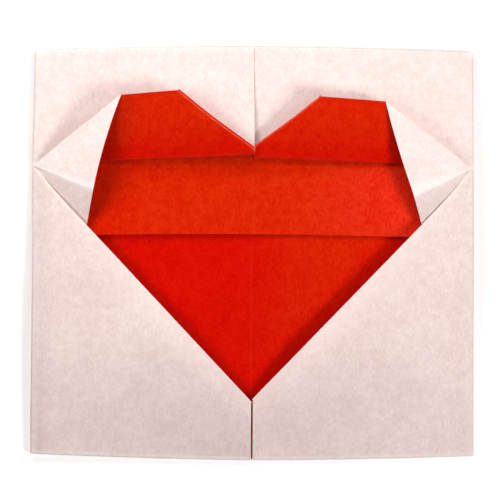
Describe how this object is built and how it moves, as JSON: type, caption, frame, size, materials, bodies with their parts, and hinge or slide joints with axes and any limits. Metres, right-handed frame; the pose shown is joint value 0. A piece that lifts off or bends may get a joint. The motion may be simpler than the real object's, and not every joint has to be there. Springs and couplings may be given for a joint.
{
  "type": "folded paper heart card",
  "caption": "Flat card folded from one square sheet of two-coloured paper, with a red heart framed by pale door flaps on its front.",
  "frame": {"origin": "under the middle of the card, on the surface that its back lies on", "axes": "+Z out of the heart side, +Y towards the top edge with the lobes, +X to the right as the heart is seen"},
  "size_m": [0.0752, 0.0698, 0.0047],
  "materials": {
    "two_colour_paper": "matte uncoated origami paper, pinkish white on one side and red on the other"
  },
  "bodies": {
    "root": {"folded_sheet": "two_colour_paper"}
  },
  "joints": []
}
